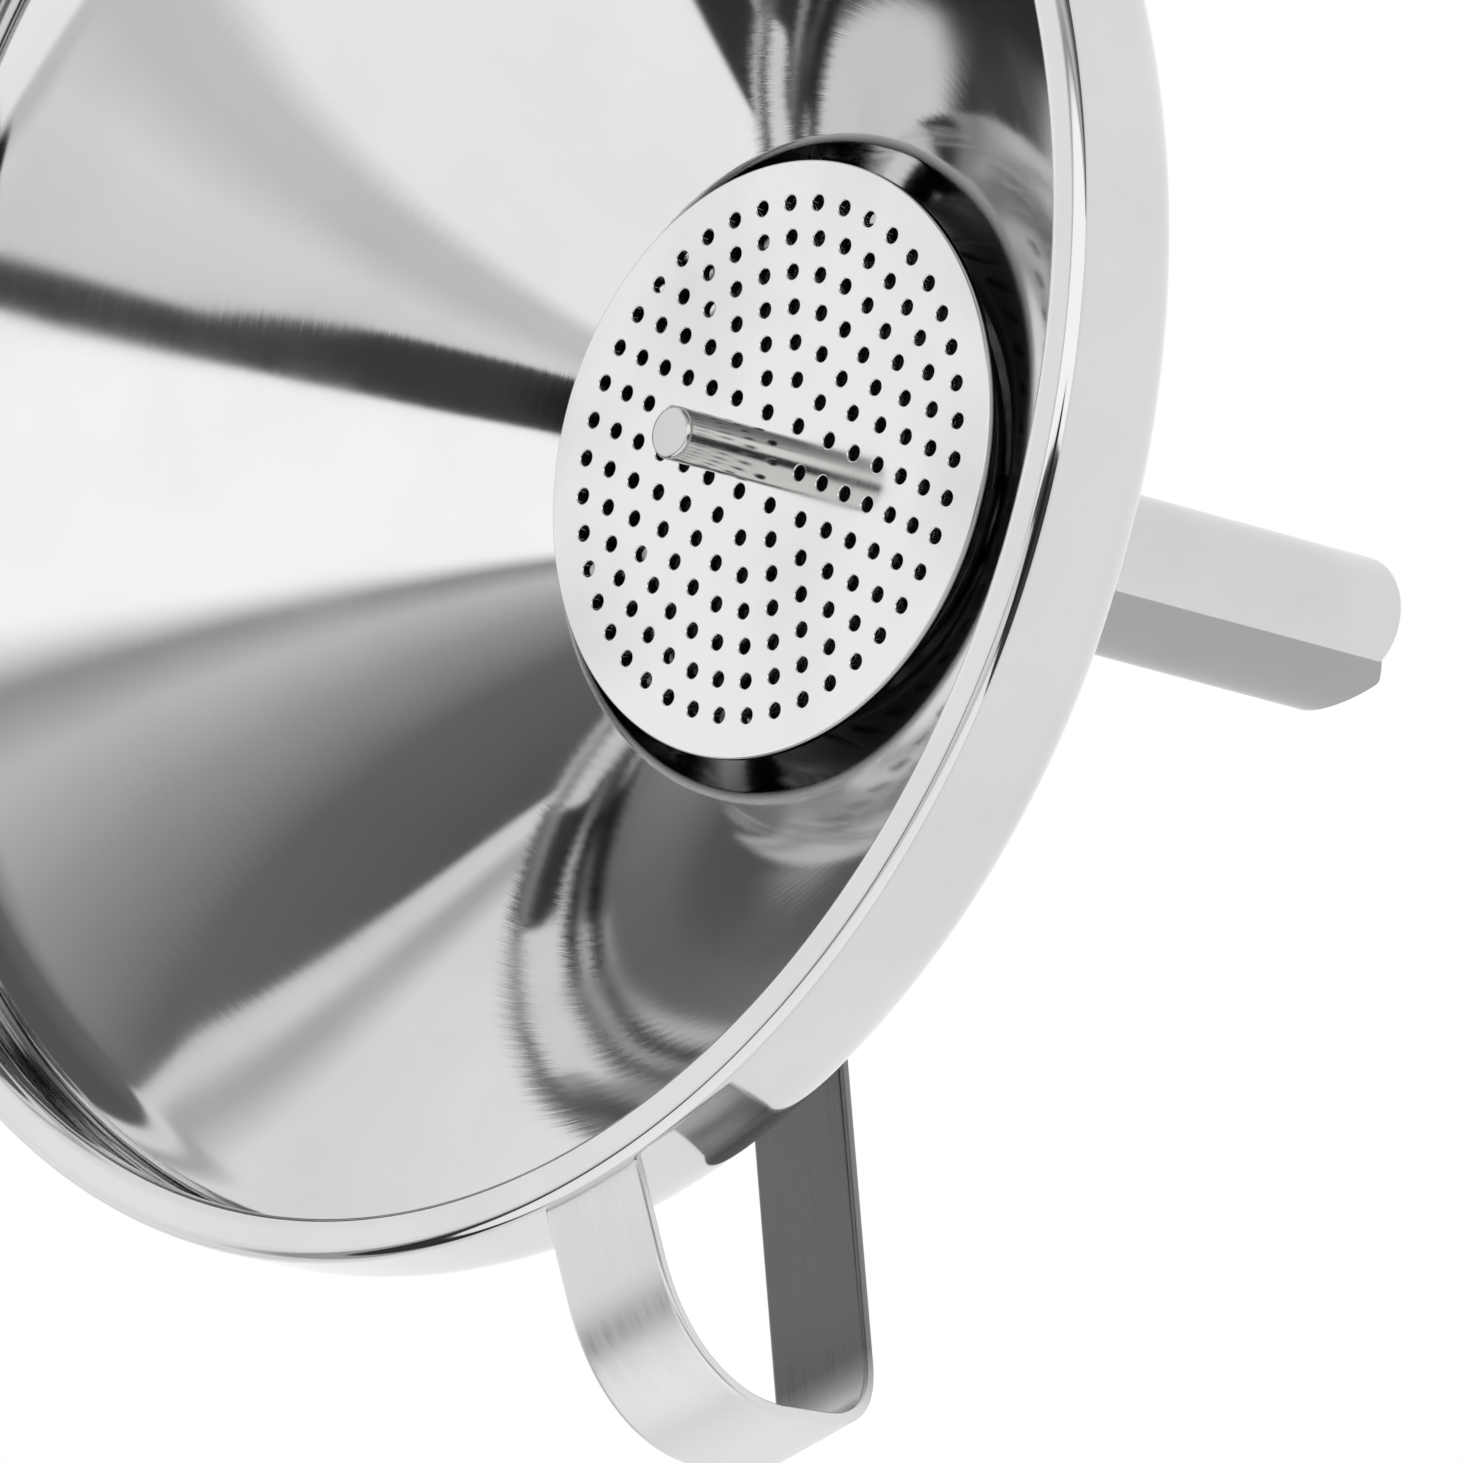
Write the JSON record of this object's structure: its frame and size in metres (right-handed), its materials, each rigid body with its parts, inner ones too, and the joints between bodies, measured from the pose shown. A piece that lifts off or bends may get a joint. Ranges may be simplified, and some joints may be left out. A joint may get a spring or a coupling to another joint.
{
  "type": "funnel with strainer",
  "caption": "Stainless steel funnel with a flared wall, an upright rim band, a narrow vented spout, a strap loop handle and a lift-out double strainer.",
  "frame": {"origin": "on the funnel's axis, level with the join between the cone and the spout, where a bottle's neck carries the funnel", "axes": "+Z along the funnel's axis towards the open mouth, +X towards the strap handle"},
  "size_m": [0.1592, 0.14, 0.1062],
  "materials": {
    "funnel_steel": "polished stainless steel with faint spun lines",
    "spout_steel": "polished stainless steel tube with faint drawn lines",
    "rib_steel": "satin stainless steel",
    "strap_steel": "satin stainless steel strap with lengthwise brushing",
    "disc_steel": "bright polished punched stainless sheet",
    "sieve_steel": "satin punched stainless sheet",
    "pin_steel": "turned stainless steel"
  },
  "bodies": {
    "funnel": {"funnel_body": "funnel_steel", "spout_tube": "spout_steel", "vent_rib": "rib_steel", "strap_handle": "strap_steel"},
    "strainer": {"strainer_disc": "disc_steel", "lower_sieve": "sieve_steel", "lifting_pin": "pin_steel"}
  },
  "joints": [
    {"name": "strainer_lift", "type": "slide", "parent": "funnel", "child": "strainer", "axis": [0, 0, 1], "range_m": [0, 0.06]}
  ]
}
